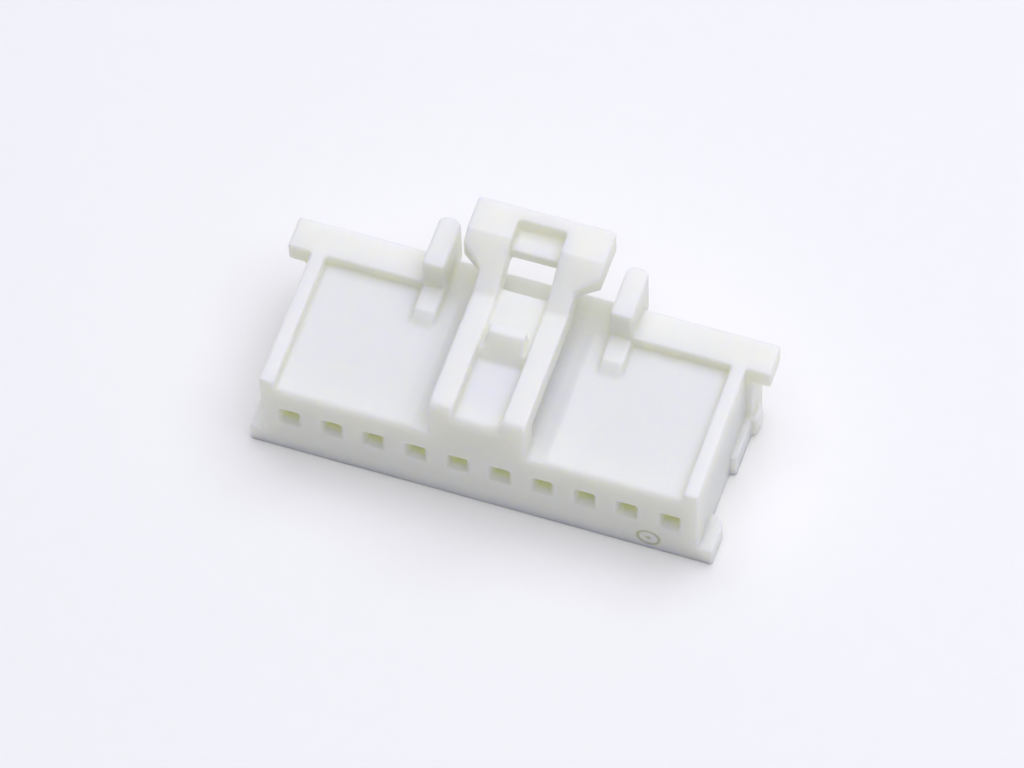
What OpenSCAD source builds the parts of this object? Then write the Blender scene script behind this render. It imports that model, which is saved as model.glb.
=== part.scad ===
// Single-row wire-to-board crimp connector housing with a sprung top latch.
// One injection moulding. Millimetres, +Z up, +Y from the mating face to the wire face.
// Origin: middle of the row and of the overall length, on the underside.
// Lengths along Y are given from the mating face; housing() centres the moulding.

/* [Row] */
// Number of contact positions in the row
positions = 10; // [6:1:14]
// Spacing of the contact positions, centre to centre
pitch = 2; // [1.8:0.1:2.4]
// From the last contact centre to the outside of the end wall
end_margin = 1.33; // [1.2:0.01:1.8]

/* [Body] */
// Underside to the flat top
body_height = 4.8; // [4.6:0.1:5.4]
// Mating face to wire face
body_depth = 8.8; // [8.4:0.1:9.6]
// Rounding of the front top edge
edge_radius = 0.3; // [0.1:0.05:0.5]

/* [Rim and ears] */
// Height of the end rims and the rear flange above the flat top
rim_rise = 0.65; // [0.4:0.05:0.9]
// Width of each end rim
rim_width = 0.7; // [0.5:0.05:1]
// Length of the rear flange along the body
flange_depth = 1.65; // [1.3:0.05:2]
// Reach of each ear beyond the end wall
ear_reach = 1.15; // [0.9:0.05:1.4]
// Thickness of each ear
ear_thickness = 1.1; // [0.8:0.05:1.4]
// Length of the hollow ramp between the guard posts
scoop_length = 2.5; // [2:0.1:3]

/* [Foot and keys] */
// Reach of each front foot beyond the end wall
foot_reach = 0.7; // [0.4:0.05:0.8]
// Height of the front feet
foot_height = 1.15; // [0.8:0.05:1.4]
// Length of the front feet
foot_depth = 1.95; // [1.2:0.05:2.4]
// Step of the rear shoulder beyond the end wall
shoulder_step = 0.32; // [0.2:0.02:0.45]
// Start of the low rail on the end wall
rail_start = 4.8; // [3.5:0.1:6]
// Height of the low rail on the end wall
rail_height = 1.5; // [1:0.05:2]
// Reach of each rear key beyond the end wall
key_reach = 0.65; // [0.5:0.05:0.85]
// Mating face to the front of each rear key
key_start = 7; // [6.6:0.1:7.1]
// Length of each rear key
key_depth = 0.9; // [0.6:0.1:1.2]

/* [Guard posts] */
// Middle of the row to the middle of each post
post_offset = 4.45; // [4.3:0.05:4.7]
// Width of each post
post_width = 1.06; // [0.8:0.02:1.1]
// Underside of the housing to the post top
post_top = 7.05; // [6.4:0.05:7.6]
// Reach of each post behind the wire face
post_reach = 1.05; // [0.6:0.05:1.3]
// Height of the stop block in front of each post
stop_rise = 0.48; // [0.3:0.02:0.6]
// Length of the stop block in front of each post
stop_length = 1.93; // [1.4:0.01:2.2]
// Sloped part of the stop block
stop_slope = 0.65; // [0.4:0.05:0.9]

/* [Latch] */
// Width over the two latch arms
latch_width = 4.5; // [4.2:0.05:4.8]
// Width of each latch arm
arm_width = 1.1; // [0.9:0.05:1.25]
// Underside of the housing to the top of the latch arms
latch_top = 7.2; // [6.9:0.05:7.4]
// Thickness of each latch arm
arm_thickness = 1.3; // [1:0.05:1.5]
// Length of the solid root joining the latch to the body
root_depth = 1.2; // [0.9:0.1:1.6]
// Rounding of the latch front edge
root_radius = 0.45; // [0.2:0.05:0.6]
// Level of the web between the arms in front of the catch
web_drop = 0.75; // [0.6:0.05:0.85]
// Level of the web between the arms behind the catch
bridge_drop = 0.25; // [0.1:0.05:0.4]
// Mating face to the rear edge of the web
bridge_end = 7; // [6.8:0.05:7.1]
// Mating face to the start of the arm slope
slope_start = 6.25; // [6:0.05:6.4]
// Mating face to the end of the arm slope
slope_end = 8.62; // [8.5:0.02:8.8]
// Width of the shallow channel on each side of the latch
channel_width = 0.95; // [0.6:0.05:1]
// Depth of the shallow channel
channel_depth = 0.1; // [0.06:0.02:0.2]
// Width of the sloping side of the channel
channel_slope = 0.3; // [0.2:0.05:0.5]

/* [Thumb tab] */
// Underside of the housing to the top of the tab
tab_top = 8.7; // [8.5:0.05:9]
// Thickness of the tab
tab_thickness = 1.42; // [1.2:0.02:1.45]
// Width of the tab
tab_width = 6.5; // [6:0.05:6.6]
// Mating face to where the tab starts to flare from the arms
wing_start = 7.25; // [7:0.05:7.5]
// Reach of the tab behind the wire face
tab_reach = 1.55; // [1.2:0.05:2]
// Thickness of the wall behind the tab pocket
tab_wall = 0.68; // [0.5:0.02:0.8]
// Depth of the tab pocket
pocket_depth = 0.8; // [0.6:0.05:0.9]
// Length of the pocket floor
pocket_length = 1.16; // [0.9:0.02:1.3]

/* [Catch] */
// Mating face to the foot of the catch ramp
catch_start = 3.4; // [3:0.05:3.8]
// Slope of the catch ramp in degrees
catch_angle = 51; // [40:1:60]
// Height of the catch above the latch arms
catch_rise = 0.4; // [0.2:0.05:0.5]
// Width of the catch
catch_width = 1.75; // [1.4:0.05:1.9]
// Length of the flat on top of the catch
catch_flat = 0.45; // [0.3:0.05:0.6]

/* [Contact cavities] */
// Underside of the housing to the contact line
contact_line = 2.7; // [2.6:0.05:2.9]
// Width of the pin opening at the mating face
mouth_width = 1.05; // [0.9:0.05:1.2]
// Height of the pin opening at the mating face
mouth_height = 1.25; // [1:0.05:1.4]
// Width of the pin hole behind the lead-in
throat_width = 0.75; // [0.6:0.05:0.85]
// Height of the pin hole behind the lead-in
throat_height = 0.85; // [0.6:0.05:0.95]
// Depth of the lead-in
lead_depth = 0.3; // [0.2:0.05:0.45]
// Thickness of the front wall
front_wall = 1; // [0.7:0.1:1.3]
// Wall between neighbouring cavities
cavity_wall = 0.45; // [0.35:0.05:0.6]
// Height of each contact cavity
cavity_height = 2.5; // [2.2:0.05:2.6]
// Start of the locking windows behind the mating face
window_start = 3.2; // [2.6:0.1:3.6]
// Length of each locking window
window_length = 1.7; // [1.2:0.1:2]
// Lead-in at the wire face
wire_lead = 0.2; // [0.1:0.05:0.25]

/* [Ring mark] */
// Underside of the housing to the centre of the ring
ring_line = 0.9; // [0.75:0.05:1.1]
// Diameter of the plain ring on the mating face
ring_diameter = 1.18; // [0.8:0.02:1.3]
// Depth of the ring groove
ring_depth = 0.06; // [0.04:0.01:0.1]

/* [Hidden] */
$fn = 48;
over = 0.5;
resin = [0.93, 0.93, 0.9];
row_half = (positions - 1) * pitch / 2;
half_width = row_half + end_margin;
rim_top = body_height + rim_rise;
flange_start = body_depth - flange_depth;
shoulder_half = half_width + shoulder_step;
latch_half = latch_width / 2;
inner_half = latch_half - arm_width;
arm_under = latch_top - arm_thickness;
web_top = latch_top - web_drop;
bridge_top = latch_top - bridge_drop;
catch_top = latch_top + catch_rise;
catch_run = (catch_top - web_top) / tan(catch_angle);
catch_end = catch_start + catch_run + catch_flat;
bridge_start = catch_start + (bridge_top - web_top) / tan(catch_angle);
tab_back = body_depth + tab_reach;
tab_under = tab_top - tab_thickness;
tab_half = tab_width / 2;
pocket_back = tab_back - tab_wall;
pocket_front = pocket_back - pocket_length;
wing_run = tab_half - latch_half;
cavity_width = pitch - cavity_wall;
window_width = cavity_width * 2 / 3;
scoop_half = post_offset - post_width / 2;
scoop_rise = rim_rise + channel_depth;
scoop_radius = (scoop_length * scoop_length + scoop_rise * scoop_rise) / (2 * scoop_rise);

// Draws a depth-and-height outline as a bar of the given width across the row.
module across(width) {
    rotate([90, 0, 90])
        linear_extrude(height = width, center = true)
            children();
}

// Repeats its children on both ends of the row.
module both_ends() {
    children();
    mirror([1, 0, 0])
        children();
}

// Block given by its two opposite corners.
module block(low, high) {
    translate(low)
        cube(high - low);
}

// Waste piece that rounds a front top edge running across the row.
module front_round(top, radius, width) {
    across(width)
        translate([0, top - radius])
            difference() {
                translate([-over, 0])
                    square([over + radius, radius + over]);
                translate([radius, 0])
                    circle(radius);
            }
}

// Main block with the raised rim on each end and the rear flange.
module body() {
    across(2 * half_width)
        square([body_depth, body_height]);
    both_ends()
        block([half_width - rim_width, 0, body_height - over], [half_width, body_depth, rim_top]);
    both_ends()
        block([scoop_half, flange_start, body_height - over], [shoulder_half, body_depth, rim_top]);
}

// Shallow channel beside the latch, its outer side sloping up to the flat top.
module channel() {
    outer = latch_half + channel_width;
    floor_level = body_height - channel_depth;
    past = channel_slope * over / channel_depth;
    translate([0, flange_start, 0])
        rotate([90, 0, 0])
            linear_extrude(height = flange_start + over)
                polygon([
                    [latch_half - over, floor_level],
                    [outer - channel_slope, floor_level],
                    [outer + past, body_height + over],
                    [latch_half - over, body_height + over]
                ]);
}

// Hollow ramp that rises from the channels to the flange behind the latch.
module scoop_outline() {
    start = body_depth - scoop_length;
    foot_level = body_height - channel_depth;
    difference() {
        translate([start, foot_level - over])
            square([scoop_length, over + scoop_rise]);
        translate([start, foot_level + scoop_radius])
            circle(scoop_radius, $fn = 360);
    }
}

// Shoulder, ear, rail and key that stand out from one end wall.
module end_features() {
    ear_half = half_width + ear_reach;
    block([half_width - over, flange_start, 0], [shoulder_half, body_depth, rim_top]);
    block([half_width - over, rail_start, 0], [shoulder_half, body_depth, rail_height]);
    block([half_width - over, flange_start, rim_top - ear_thickness], [ear_half, body_depth, rim_top]);
    key_block();
    foot();
}

// Rear key with its outer lower edge bevelled.
module key_block() {
    key_half = half_width + key_reach;
    bevel = key_reach - shoulder_step;
    translate([0, key_start + key_depth, 0])
        rotate([90, 0, 0])
            linear_extrude(height = key_depth)
                polygon([
                    [half_width - over, 0],
                    [key_half - bevel, 0],
                    [key_half, bevel],
                    [key_half, rail_height],
                    [half_width - over, rail_height]
                ]);
}

// Front foot with its rear outer corner cut back.
module foot() {
    foot_half = half_width + foot_reach;
    cut = foot_reach / 2;
    linear_extrude(height = foot_height)
        polygon([
            [half_width - over, 0],
            [foot_half, 0],
            [foot_half, foot_depth - cut],
            [foot_half - cut, foot_depth],
            [half_width - over, foot_depth]
        ]);
}

// Guard post behind the latch and the stop block in front of it.
module guard_post() {
    corner = post_width / 5;
    post_back = body_depth + post_reach;
    side = post_width / 2;
    translate([post_offset, 0, rim_top - ear_thickness])
        linear_extrude(height = post_top - rim_top + ear_thickness)
            polygon([
                [-side, flange_start],
                [side, flange_start],
                [side, post_back - corner],
                [side - corner, post_back],
                [corner - side, post_back],
                [-side, post_back - corner]
            ]);
    translate([post_offset, 0, 0])
        across(post_width)
            stop_outline();
}

// Side outline of the stop block.
module stop_outline() {
    toe = flange_start - stop_length;
    polygon([
        [toe, body_height],
        [toe + stop_slope, body_height + stop_rise],
        [flange_start + over, body_height + stop_rise],
        [flange_start + over, body_height - over],
        [toe, body_height - over]
    ]);
}

// Side outline of the sprung arm from its root to the tab.
module arm_outline() {
    polygon([
        [0, body_height - over],
        [0, latch_top],
        [slope_start, latch_top],
        [slope_end, tab_top],
        [pocket_back, tab_top],
        [pocket_back, tab_under],
        [slope_end, tab_under],
        [slope_start + arm_thickness / 3, arm_under],
        [root_depth, arm_under],
        [root_depth, body_height - over]
    ]);
}

// Side outline of the whole tab, its top falling with the arm slope.
module tab_outline() {
    intersection() {
        translate([slope_start, tab_under])
            square([tab_back - slope_start, tab_thickness]);
        polygon([
            [slope_start, latch_top],
            [slope_end, tab_top],
            [tab_back, tab_top],
            [tab_back, arm_under],
            [slope_start, arm_under]
        ]);
    }
}

// Top view of the tab, flaring out from the arms.
module tab_plan() {
    wing_front = wing_start + wing_run * 3 / 4;
    polygon([
        [-latch_half, wing_start],
        [latch_half, wing_start],
        [tab_half, wing_front],
        [tab_half, tab_back],
        [-tab_half, tab_back],
        [-tab_half, wing_front]
    ]);
}

// Waste between the arms above the web, open behind the bridge.
module between_arms_outline() {
    polygon([
        [-over, web_top],
        [catch_start, web_top],
        [bridge_start, bridge_top],
        [bridge_end, bridge_top],
        [bridge_end, body_height],
        [pocket_front, body_height],
        [pocket_front, tab_top + over],
        [-over, tab_top + over]
    ]);
}

// Wedge that snaps behind the bar of the board-mounted half.
module catch_outline() {
    polygon([
        [catch_start, web_top],
        [catch_start + catch_run, catch_top],
        [catch_end, catch_top],
        [catch_end, bridge_top - over],
        [catch_start, bridge_top - over]
    ]);
}

// Sprung latch: root, two arms, web, catch and thumb tab.
module latch() {
    difference() {
        union() {
            across(latch_width)
                arm_outline();
            intersection() {
                across(tab_width)
                    tab_outline();
                linear_extrude(height = tab_top)
                    tab_plan();
            }
        }
        across(2 * inner_half)
            between_arms_outline();
        block(
            [-inner_half, pocket_front - over, tab_top - pocket_depth],
            [inner_half, pocket_back, tab_top + over]
        );
        front_round(latch_top, root_radius, latch_width + over);
        front_round(web_top, root_radius, 2 * inner_half);
    }
    across(catch_width)
        catch_outline();
}

// Pin opening, lead-in, contact cavity and locking window of one position.
module contact_cavity() {
    floor_level = contact_line - cavity_height / 2;
    side = cavity_width / 2;
    translate([0, 0, contact_line])
        lead_in();
    block(
        [-throat_width / 2, 0, contact_line - throat_height / 2],
        [throat_width / 2, front_wall + over, contact_line + throat_height / 2]
    );
    block([-side, front_wall, floor_level], [side, body_depth + over, floor_level + cavity_height]);
    block(
        [-window_width / 2, window_start, -over],
        [window_width / 2, window_start + window_length, contact_line]
    );
    translate([0, 0, contact_line])
        wire_entry();
}

// Four sloping sides that guide a pin into its hole.
module lead_in() {
    slope_w = (mouth_width - throat_width) / lead_depth;
    slope_h = (mouth_height - throat_height) / lead_depth;
    wide = (mouth_width + slope_w * over) / 2;
    tall = (mouth_height + slope_h * over) / 2;
    hole_w = throat_width / 2;
    hole_h = throat_height / 2;
    intersection() {
        across(2 * wide)
            polygon([[-over, -tall], [lead_depth, -hole_h], [lead_depth, hole_h], [-over, tall]]);
        translate([0, 0, -tall])
            linear_extrude(height = 2 * tall)
                polygon([[-wide, -over], [wide, -over], [hole_w, lead_depth], [-hole_w, lead_depth]]);
    }
}

// Lead-in above and below the cavity at the wire face.
module wire_entry() {
    tall = cavity_height / 2;
    front = body_depth - wire_lead;
    across(cavity_width)
        polygon([
            [front, -tall],
            [body_depth + over, -tall - wire_lead - over],
            [body_depth + over, tall + wire_lead + over],
            [front, tall]
        ]);
}

// Plain ring with a centre dot, sunk into the mating face.
module ring_mark() {
    groove = ring_diameter / 8;
    rotate([90, 0, 0])
        translate([0, 0, -ring_depth])
            linear_extrude(height = ring_depth + over) {
                difference() {
                    circle(d = ring_diameter);
                    circle(d = ring_diameter - 2 * groove);
                }
                circle(d = 2 * groove);
            }
}

// The whole moulding before it is centred, its mating face at zero.
module moulding() {
    difference() {
        union() {
            difference() {
                body();
                front_round(body_height, edge_radius, 2 * (half_width - rim_width));
                both_ends()
                    channel();
            }
            across(2 * scoop_half)
                scoop_outline();
            both_ends()
                end_features();
            both_ends()
                guard_post();
            latch();
        }
        for (i = [0 : positions - 1])
            translate([i * pitch - row_half, 0, 0])
                contact_cavity();
        translate([row_half - pitch / 2, 0, ring_line])
            ring_mark();
    }
}

// The housing in its own frame.
module housing() {
    color(resin)
        translate([0, -tab_back / 2, 0])
            moulding();
}

housing();
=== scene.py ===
# %% Load the frame
from math import cos, radians, sin

import bmesh
import bpy
from mathutils import Matrix, Vector


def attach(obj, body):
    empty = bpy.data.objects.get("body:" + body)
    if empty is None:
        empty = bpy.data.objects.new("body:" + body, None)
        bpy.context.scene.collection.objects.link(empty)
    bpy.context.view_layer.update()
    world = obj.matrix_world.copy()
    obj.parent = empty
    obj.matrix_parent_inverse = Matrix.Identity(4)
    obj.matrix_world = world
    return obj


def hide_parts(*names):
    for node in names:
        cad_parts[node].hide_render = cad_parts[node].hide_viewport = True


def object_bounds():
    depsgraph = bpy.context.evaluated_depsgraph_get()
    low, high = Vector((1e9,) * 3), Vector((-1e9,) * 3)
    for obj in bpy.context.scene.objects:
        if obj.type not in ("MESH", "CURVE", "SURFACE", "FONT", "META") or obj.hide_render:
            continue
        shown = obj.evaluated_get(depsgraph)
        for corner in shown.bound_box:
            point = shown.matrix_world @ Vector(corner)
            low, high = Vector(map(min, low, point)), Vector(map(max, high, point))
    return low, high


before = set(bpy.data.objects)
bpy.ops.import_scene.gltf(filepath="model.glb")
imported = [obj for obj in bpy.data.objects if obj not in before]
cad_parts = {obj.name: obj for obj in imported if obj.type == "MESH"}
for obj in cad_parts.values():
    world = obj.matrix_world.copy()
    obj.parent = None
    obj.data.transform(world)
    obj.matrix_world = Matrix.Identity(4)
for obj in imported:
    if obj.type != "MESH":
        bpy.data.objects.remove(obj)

cad_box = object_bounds()
print("CAD box:", cad_box)

# %% [markdown]
# # A crimp connector housing in natural nylon
# The object is a single injection moulding: a block with ten contact cavities, a sprung
# latch on top, two guard posts, raised end rims, a rear flange and small keys at both ends.
# Its exact form comes with the frame. What the frame doesn't have is the softness of a
# real moulding: no mould has perfectly sharp corners, and natural nylon lets light in.
# This lesson rounds the corners, makes the plastic and lights it.

# %% [markdown]
# ## Lengths
# Everything is in metres, so a small class of lengths in millimetres reads better.

# %% Millimetres
MM = 0.001
print("one millimetre is", MM, "m")


# %% [markdown]
# ## The moulding
# The frame's mesh is made of loose triangles. A copy has them welded into one closed skin.

# %% Copy the moulding
WELD = 0.0005 * MM


def moulded_copy(node, name):
    mesh = bpy.data.meshes.new(name)
    shape = bmesh.new()
    shape.from_mesh(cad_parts[node].data)
    bmesh.ops.remove_doubles(shape, verts=shape.verts, dist=WELD)
    shape.to_mesh(mesh)
    shape.free()
    piece = bpy.data.objects.new(name, mesh)
    bpy.context.scene.collection.objects.link(piece)
    return piece


housing = moulded_copy("housing", "moulded_housing")
print("housing:", len(housing.data.vertices), "vertices,", len(housing.data.polygons), "faces")


# %% [markdown]
# ## Soft edges
# A mould is cut with round tools and the plastic shrinks as it cools, so every edge ends
# up with a radius of about a tenth of a millimetre and every inner corner with a small
# fillet. A Bevel modifier rounds long edges well, but folds where short edges crowd
# together, as at the root of the latch. A fine remesh followed by a few rounds of
# smoothing rounds every corner alike and leaves flat faces flat. Decimate then takes the
# small faces out of the flats, where they do nothing.

# %% Round every edge alike
def soften(piece, cell, rounds, triangles):
    remesh = piece.modifiers.new("fine_skin", "REMESH")
    remesh.mode = "VOXEL"
    remesh.voxel_size = cell
    smooth = piece.modifiers.new("shrinkage", "SMOOTH")
    smooth.factor = 0.5
    smooth.iterations = rounds
    fine = evaluated_mesh(piece)
    piece.modifiers.clear()
    piece.data = fine
    thin = piece.modifiers.new("thin_flats", "DECIMATE")
    thin.ratio = triangles / (2 * len(fine.polygons))
    thin.use_collapse_triangulate = True
    piece.data = evaluated_mesh(piece)
    piece.modifiers.clear()
    piece.data.shade_smooth()
    print(piece.name, "fine:", len(fine.polygons), "kept:", len(piece.data.polygons))


def evaluated_mesh(piece):
    graph = bpy.context.evaluated_depsgraph_get()
    return bpy.data.meshes.new_from_object(piece.evaluated_get(graph))


CELL = 0.05 * MM
SMOOTH_ROUNDS = 28
TRIANGLES = 180000
soften(housing, CELL, SMOOTH_ROUNDS, TRIANGLES)
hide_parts("housing")
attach(housing, "root")


# %% [markdown]
# ## Shader helpers
# A shader is a sum of small steps. One class wraps a socket so that steps are written as
# arithmetic, and one method adds any other node.

# %% Sockets as numbers
class Amount:
    """A number that changes over the surface."""

    def __init__(self, finish, socket):
        self.finish = finish
        self.socket = socket

    def step(self, operation, first, second):
        return self.finish.node("ShaderNodeMath", {"operation": operation}, {0: first, 1: second})

    def __add__(self, other):
        return self.step("ADD", self, other)

    def __sub__(self, other):
        return self.step("SUBTRACT", self, other)

    def __rsub__(self, other):
        return self.step("SUBTRACT", other, self)

    def __mul__(self, other):
        return self.step("MULTIPLY", self, other)

    def absolute(self):
        return self.step("ABSOLUTE", self, 0.0)

    def squared(self):
        return self.step("MULTIPLY", self, self)

    def root(self):
        return self.step("POWER", self, 0.5)

    __radd__ = __add__
    __rmul__ = __mul__


class Finish:
    """A material built from nodes."""

    def __init__(self, name):
        self.material = bpy.data.materials.new(name)
        self.material.use_nodes = True
        self.tree = self.material.node_tree
        self.shader = self.tree.nodes["Principled BSDF"]

    def node(self, kind, settings, inputs, output=0):
        made = self.tree.nodes.new(kind)
        for key, value in settings.items():
            setattr(made, key, value)
        for key, value in inputs.items():
            self.feed(made.inputs[key], value)
        return Amount(self, made.outputs[output])

    def feed(self, socket, value):
        if isinstance(value, Amount):
            self.tree.links.new(value.socket, socket)
        else:
            socket.default_value = value

    def ramp(self, amount, start, end, first, last):
        """Goes smoothly from the first value to the last between start and end."""
        settings = {"interpolation_type": "SMOOTHSTEP"}
        inputs = {0: amount, 1: start, 2: end, 3: first, 4: last}
        return self.node("ShaderNodeMapRange", settings, inputs)

    def fade(self, distance, width):
        """One where the distance is zero, falling smoothly to zero at the width."""
        return self.ramp(distance.absolute(), 0.0, width, 1.0, 0.0)

    def below(self, amount, limit):
        return amount.step("LESS_THAN", amount, limit)

    def mix(self, share, first, second):
        """A colour between two colours."""
        return self.node("ShaderNodeMix", {"data_type": "RGBA"}, {0: share, 6: first, 7: second}, 2)

    def noise(self, place, scale, detail, roughness=0.5):
        inputs = {"Vector": place, "Scale": scale, "Detail": detail, "Roughness": roughness}
        return self.node("ShaderNodeTexNoise", {}, inputs)

    def object_place(self):
        return self.node("ShaderNodeTexCoord", {}, {}, "Object")

    def apart(self, place):
        """The three coordinates of a place, each as a number."""
        across = self.node("ShaderNodeSeparateXYZ", {}, {"Vector": place})
        outputs = across.socket.node.outputs
        return across, Amount(self, outputs["Y"]), Amount(self, outputs["Z"])

    def surface(self, **values):
        for key, value in values.items():
            self.feed(self.shader.inputs[key.replace("_", " ")], value)


# %% [markdown]
# ## Natural nylon
# Uncoloured nylon is milky: light goes a little way in and comes out again, so edges
# glow softly and deep corners turn warm. The colour is almost even, with faint cloudy
# flow marks about two millimetres across. The surface is a fine satin from the mould.

# %% The ring in the mating face
RING_X, RING_Z = 8.0 * MM, 0.9 * MM
RING_RADIUS, RING_LINE = 0.51 * MM, 0.14 * MM
DOT_SHARE = 1.6
MATING_FACE = cad_box[0][1]
SKIN = 0.05 * MM


def ring_groove(finish, place):
    """One on the ring and its dot, zero elsewhere, and only on the mating face."""
    across, depth, level = finish.apart(place)
    off = (across - RING_X).squared() + (level - RING_Z).squared()
    radius = off.root()
    line = finish.fade(radius - RING_RADIUS, RING_LINE)
    dot = finish.fade(radius, DOT_SHARE * RING_LINE)
    front = finish.below(depth, MATING_FACE + SKIN)
    return (line + dot) * front


print("ring at", RING_X / MM, RING_Z / MM, "mm")


# %% [markdown]
# Light comes through the thin top of the body, so the first millimetres behind the pin
# openings look yellow-green. A faint emission there stands in for that light.

# %% Light that comes through to the cavities
CAVITY_Z, CAVITY_HALF = 2.7 * MM, 1.3 * MM
CAVITY_ENDS = 10.0 * MM
GLOW_START, GLOW_FULL = 0.2 * MM, 0.5 * MM
GLOW_FALL, GLOW_END = 1.0 * MM, 2.5 * MM


def cavity_glow(finish, place):
    """Rises to one just behind the pin openings and falls to zero further in."""
    across, depth, level = finish.apart(place)
    inward = finish.ramp(depth, MATING_FACE + GLOW_START, MATING_FACE + GLOW_FULL, 0.0, 1.0)
    outward = finish.ramp(depth, MATING_FACE + GLOW_FALL, MATING_FACE + GLOW_END, 1.0, 0.0)
    inside = finish.below((level - CAVITY_Z).absolute(), CAVITY_HALF)
    between = finish.below(across.absolute(), CAVITY_ENDS)
    return inward * outward * inside * between


print("glow from", GLOW_START / MM, "to", GLOW_END / MM, "mm behind the mating face")


# %% [markdown]
# The satin comes from a bump made of three heights: the flow marks, a fine grain and the
# groove of the ring. The groove and its dot are also painted dark olive: painted shade
# for a groove finer than the skin's cells.

# %% Milky plastic
FLOW_SCALE, GRAIN_SCALE = 450.0, 14000.0
CLOUDY, CLEAR = (0.81, 0.817, 0.745, 1.0), (0.84, 0.847, 0.775, 1.0)
# Painted shade: the dark olive colour laid on the ring groove and its dot.
PAINTED_GROOVE_SHADE = (0.56, 0.57, 0.38, 1.0)
DARK, GLOW = (0.0, 0.0, 0.0, 1.0), (0.07, 0.078, 0.01, 1.0)


def milky_plastic(name):
    finish = Finish(name)
    place = finish.object_place()
    clouds = finish.noise(place, FLOW_SCALE, 3.0)
    grain = finish.noise(place, GRAIN_SCALE, 2.0, 0.6)
    groove = ring_groove(finish, place)
    # The ring groove and its dot get painted shade in the colour; the bump below gives their real
    # dip.
    colour = finish.mix(groove, finish.mix(clouds, CLOUDY, CLEAR), PAINTED_GROOVE_SHADE)
    light = finish.mix(cavity_glow(finish, place), DARK, GLOW)
    height = 0.6 * clouds + 0.08 * grain - 2.5 * groove
    satin = finish.node(
        "ShaderNodeBump", {},
        {"Strength": 0.35, "Distance": 0.02 * MM, "Height": height}, "Normal",
    )
    finish.surface(
        Base_Color=colour, Roughness=0.36 + 0.12 * grain, Normal=satin,
        Subsurface_Weight=1.0, Subsurface_Radius=(1.0, 0.98, 0.6), Subsurface_Scale=1.6 * MM,
        Specular_IOR_Level=0.4, IOR=1.53, Emission_Color=light, Emission_Strength=1.0,
    )
    return finish.material


natural_nylon = milky_plastic("natural_nylon")
housing.data.materials.clear()
housing.data.materials.append(natural_nylon)
print("natural_nylon:", len(natural_nylon.node_tree.nodes), "nodes")


# %% [markdown]
# ## Floor and light
# A plain pale floor, a wide soft lamp overhead and a little behind, and an even sky.

# %% Floor
FLOOR_HALF = 3.0
FLOOR_DROP = 0.01 * MM
FIBRE_SCALE = 900.0
PAPER, PALE_PAPER = (0.93, 0.93, 0.88, 1.0), (0.945, 0.945, 0.895, 1.0)


def plain_floor(size):
    mesh = bpy.data.meshes.new("studio_floor")
    shape = bmesh.new()
    bmesh.ops.create_grid(shape, x_segments=1, y_segments=1, size=size)
    bmesh.ops.translate(shape, verts=shape.verts, vec=(0, 0, -FLOOR_DROP))
    shape.to_mesh(mesh)
    shape.free()
    floor = bpy.data.objects.new("studio_floor", mesh)
    bpy.context.scene.collection.objects.link(floor)
    finish = Finish("pale_paper")
    fibre = finish.noise(finish.object_place(), FIBRE_SCALE, 2.0)
    finish.surface(Base_Color=finish.mix(fibre, PAPER, PALE_PAPER), Roughness=0.9)
    mesh.materials.append(finish.material)
    print("floor:", 2 * size, "m across")


plain_floor(FLOOR_HALF)

# %% [markdown]
# The lamp is as wide as a softbox at arm's length, so its shadows have no edge. The sky
# is brighter behind the part than in front of it, which leaves the mating face in shade.

# %% Lamp and sky
lamp_data = bpy.data.lights.new("softbox", "AREA")
lamp_data.shape = "RECTANGLE"
lamp_data.size, lamp_data.size_y = 0.4, 0.36
lamp_data.energy = 1.02
lamp_data.color = (0.858, 0.853, 1.0)
lamp = bpy.data.objects.new("softbox", lamp_data)
lamp.location = (0.045, 0.03, 0.3)
lamp.rotation_euler = (-Vector(lamp.location)).to_track_quat("-Z", "Y").to_euler()
bpy.context.scene.collection.objects.link(lamp)
print("softbox:", lamp_data.energy, "W at", tuple(lamp.location))

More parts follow.
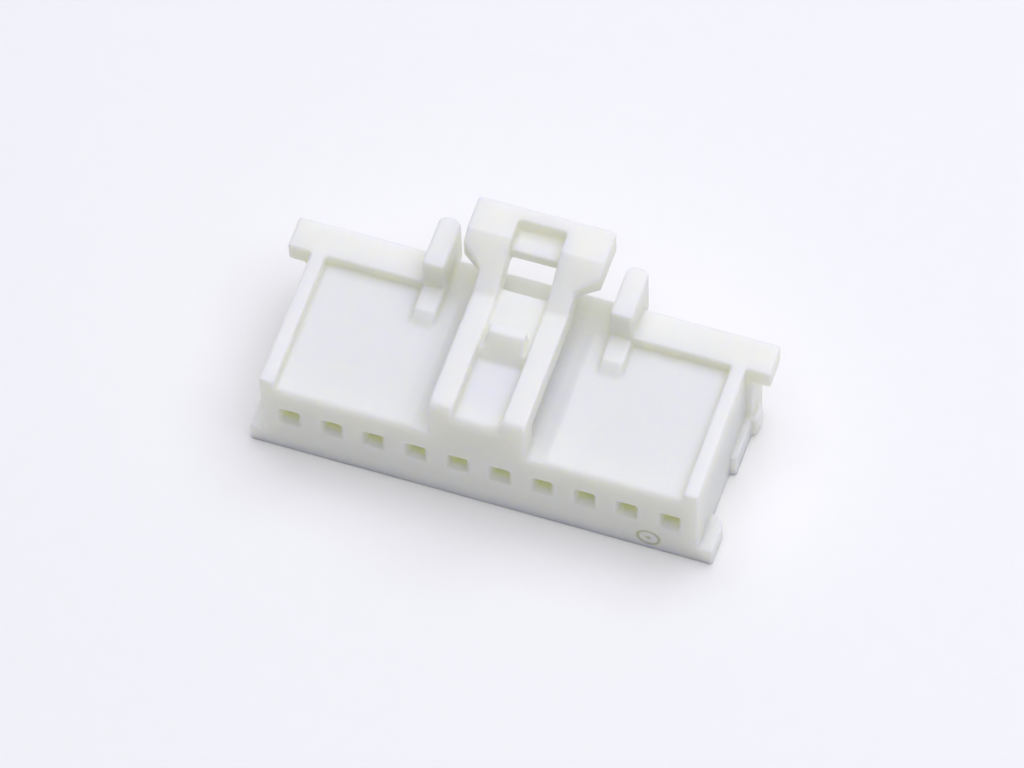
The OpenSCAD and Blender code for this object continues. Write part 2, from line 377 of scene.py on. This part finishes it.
SKY_FRONT, SKY_BACK = 0.17, 0.55
sky = bpy.data.worlds.new("studio_sky")
sky.use_nodes = True
sky_nodes = sky.node_tree.nodes
way = sky_nodes.new("ShaderNodeTexCoord")
parts = sky_nodes.new("ShaderNodeSeparateXYZ")
dimmer = sky_nodes.new("ShaderNodeMapRange")
span = {"From Min": -1.0, "From Max": 1.0, "To Min": SKY_FRONT, "To Max": SKY_BACK}
for name, value in span.items():
    dimmer.inputs[name].default_value = value
sky.node_tree.links.new(way.outputs["Generated"], parts.inputs["Vector"])
sky.node_tree.links.new(parts.outputs["Y"], dimmer.inputs["Value"])
sky.node_tree.links.new(dimmer.outputs["Result"], sky_nodes["Background"].inputs["Strength"])
sky_nodes["Background"].inputs["Color"].default_value = (0.95, 0.95, 1.0, 1.0)
bpy.context.scene.world = sky
bpy.context.scene.view_settings.view_transform = "Standard"
print("sky:", SKY_FRONT, "in front,", SKY_BACK, "behind")

# %% [markdown]
# ## Camera
# A long lens looks down on the mating face from the right, with a slight roll. The angles
# are in degrees: azimuth from the front towards +X, then elevation, then roll.

# %% Camera
def studio_camera(azimuth, elevation, roll, distance, lens, aim):
    azimuth, elevation, roll = radians(azimuth), radians(elevation), radians(roll)
    back = Vector((sin(azimuth) * cos(elevation), -cos(azimuth) * cos(elevation), sin(elevation)))
    right = Vector((cos(azimuth), sin(azimuth), 0))
    up = back.cross(right)
    side = cos(roll) * right + sin(roll) * up
    top = cos(roll) * up - sin(roll) * right
    data = bpy.data.cameras.new("camera")
    data.lens = lens
    data.sensor_width = 36
    data.clip_start = 10 * MM
    camera = bpy.data.objects.new("camera", data)
    turn = Matrix((side, top, back)).transposed().to_4x4()
    camera.matrix_world = Matrix.Translation(aim + back * distance) @ turn
    bpy.context.scene.collection.objects.link(camera)
    bpy.context.scene.camera = camera
    print("camera:", lens, "mm lens at", tuple(camera.matrix_world.translation))


AIM = Vector((0.298, -1.175, 4.081)) * MM
studio_camera(20.77, 58.09, -2.64, 295.7 * MM, 231.2, AIM)
